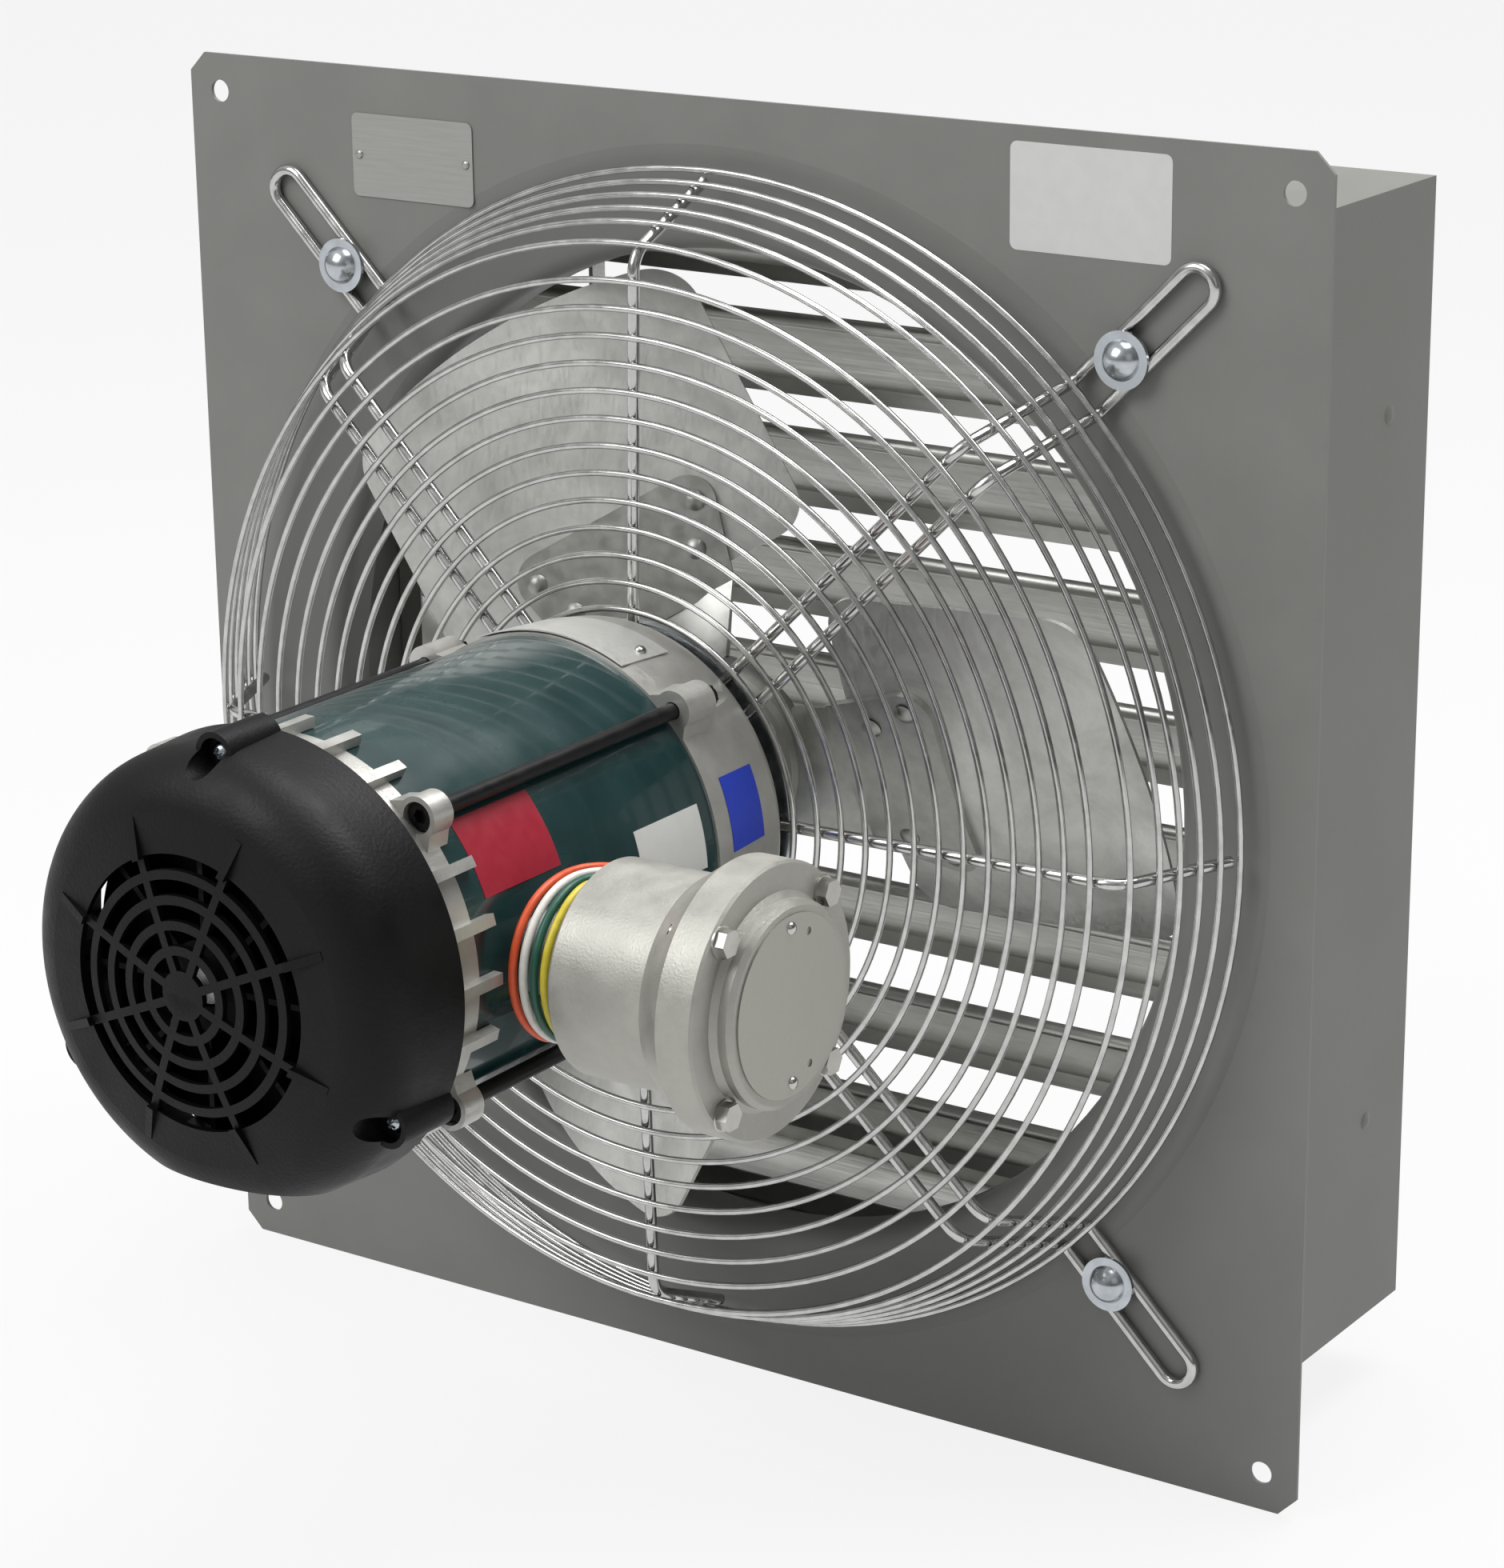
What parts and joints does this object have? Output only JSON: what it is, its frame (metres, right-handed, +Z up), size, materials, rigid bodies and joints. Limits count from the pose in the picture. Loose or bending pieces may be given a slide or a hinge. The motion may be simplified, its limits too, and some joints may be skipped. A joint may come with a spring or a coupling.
{
  "type": "explosion-proof exhaust fan",
  "caption": "Shutter-mounted wall exhaust fan: square panel with orifice, wire guard carrying a round enclosed motor with conduit box, sheet propeller and gravity louvers in a wall sleeve.",
  "frame": {"origin": "middle of the wall bolt pattern, on the back face of the panel, which is on the motor's axis", "axes": "+X to the right as seen from the motor side, +Y through the wall to the shutter, +Z up"},
  "size_m": [0.546, 0.491, 0.546],
  "materials": {
    "panel_paint": "baked enamel, satin",
    "sleeve_paint": "baked enamel, satin",
    "louver_aluminium": "mill finish sheet",
    "guard_plate": "bright plated wire",
    "zinc_steel": "zinc plated",
    "black_steel": "black oxide",
    "shaft_steel": "ground bar",
    "motor_paint": "gloss enamel",
    "cast_aluminium": "painted casting",
    "cover_plastic": "moulded, fine grain",
    "box_paint": "satin enamel on casting",
    "blade_aluminium": "mill finish sheet",
    "nylon": "natural nylon",
    "lamination_steel": "stacked sheet",
    "winding_copper": "varnished wire",
    "grommet_rubber": "moulded",
    "lead_orange": "extruded insulation",
    "lead_white": "extruded insulation",
    "lead_green": "extruded insulation",
    "lead_yellow": "extruded insulation"
  },
  "bodies": {
    "housing": {"front_panel": "panel_paint", "wall_sleeve": "sleeve_paint", "shutter_frame": "louver_aluminium", "shutter_rivets": "zinc_steel", "louver_bushings": "nylon", "guard_spokes": "guard_plate", "guard_legs": "guard_plate", "guard_front_rings": "guard_plate", "guard_side_rings": "guard_plate", "guard_screws": "zinc_steel", "guard_nuts": "zinc_steel", "motor_mount_plate": "zinc_steel", "motor_mount_bolts": "zinc_steel", "motor_barrel": "motor_paint", "front_end_bell": "cast_aluminium", "rear_end_bell": "cast_aluminium", "front_bearing": "shaft_steel", "rear_bearing": "shaft_steel", "stator_core": "lamination_steel", "stator_windings": "winding_copper", "through_bolts": "black_steel", "through_bolt_nuts": "black_steel", "fan_cover": "cover_plastic", "fan_cover_screws": "black_steel", "conduit_nipple": "zinc_steel", "conduit_box": "box_paint", "conduit_cover": "box_paint", "conduit_cover_bolts": "zinc_steel", "lead_grommet": "grommet_rubber", "lead_orange": "lead_orange", "lead_white": "lead_white", "lead_green": "lead_green", "lead_yellow": "lead_yellow"},
    "rotor": {"motor_shaft": "shaft_steel", "rotor_core": "lamination_steel", "cooling_fan": "cover_plastic", "fan_hub": "cast_aluminium", "hub_set_screw": "black_steel", "spider": "zinc_steel", "hub_rivets": "zinc_steel", "blade_rivets": "zinc_steel", "blade_1": "blade_aluminium", "blade_2": "blade_aluminium", "blade_3": "blade_aluminium"},
    "louver_1": {"louver_1": "louver_aluminium"},
    "louver_2": {"louver_2": "louver_aluminium"},
    "louver_3": {"louver_3": "louver_aluminium"},
    "louver_4": {"louver_4": "louver_aluminium"},
    "louver_5": {"louver_5": "louver_aluminium"},
    "louver_6": {"louver_6": "louver_aluminium"},
    "louver_7": {"louver_7": "louver_aluminium"},
    "louver_8": {"louver_8": "louver_aluminium"},
    "louver_9": {"louver_9": "louver_aluminium"},
    "tie_bar": {"tie_bar": "louver_aluminium"}
  },
  "joints": [
    {"name": "fan_spin", "type": "hinge", "parent": "housing", "child": "rotor", "pos_m": [0, 0, 0], "axis": [0, -1, 0], "continuous": true},
    {"name": "louver_1_hinge", "type": "hinge", "parent": "housing", "child": "louver_1", "pos_m": [0, 0.0932, 0.214], "axis": [-1, 0, 0], "range_deg": [-32, 34]},
    {"name": "louver_2_hinge", "type": "hinge", "parent": "housing", "child": "louver_2", "pos_m": [0, 0.0932, 0.165], "axis": [-1, 0, 0], "range_deg": [-32, 34]},
    {"name": "louver_3_hinge", "type": "hinge", "parent": "housing", "child": "louver_3", "pos_m": [0, 0.0932, 0.116], "axis": [-1, 0, 0], "range_deg": [-32, 34]},
    {"name": "louver_4_hinge", "type": "hinge", "parent": "housing", "child": "louver_4", "pos_m": [0, 0.0932, 0.067], "axis": [-1, 0, 0], "range_deg": [-32, 34]},
    {"name": "louver_5_hinge", "type": "hinge", "parent": "housing", "child": "louver_5", "pos_m": [0, 0.0932, 0.018], "axis": [-1, 0, 0], "range_deg": [-32, 34]},
    {"name": "louver_6_hinge", "type": "hinge", "parent": "housing", "child": "louver_6", "pos_m": [0, 0.0932, -0.031], "axis": [-1, 0, 0], "range_deg": [-32, 34]},
    {"name": "louver_7_hinge", "type": "hinge", "parent": "housing", "child": "louver_7", "pos_m": [0, 0.0932, -0.08], "axis": [-1, 0, 0], "range_deg": [-32, 34]},
    {"name": "louver_8_hinge", "type": "hinge", "parent": "housing", "child": "louver_8", "pos_m": [0, 0.0932, -0.129], "axis": [-1, 0, 0], "range_deg": [-32, 34]},
    {"name": "louver_9_hinge", "type": "hinge", "parent": "housing", "child": "louver_9", "pos_m": [0, 0.0932, -0.178], "axis": [-1, 0, 0], "range_deg": [-32, 34]},
    {"name": "tie_bar_link", "type": "hinge", "parent": "louver_1", "child": "tie_bar", "pos_m": [-0.117, 0.0772, 0.21372], "axis": [-1, 0, 0], "range_deg": [-34, 32]}
  ],
  "couplings": [
    {"joint": "louver_2_hinge", "follows": "louver_1_hinge", "ratio": 1},
    {"joint": "louver_3_hinge", "follows": "louver_1_hinge", "ratio": 1},
    {"joint": "louver_4_hinge", "follows": "louver_1_hinge", "ratio": 1},
    {"joint": "louver_5_hinge", "follows": "louver_1_hinge", "ratio": 1},
    {"joint": "louver_6_hinge", "follows": "louver_1_hinge", "ratio": 1},
    {"joint": "louver_7_hinge", "follows": "louver_1_hinge", "ratio": 1},
    {"joint": "louver_8_hinge", "follows": "louver_1_hinge", "ratio": 1},
    {"joint": "louver_9_hinge", "follows": "louver_1_hinge", "ratio": 1},
    {"joint": "tie_bar_link", "follows": "louver_1_hinge", "ratio": -1}
  ]
}
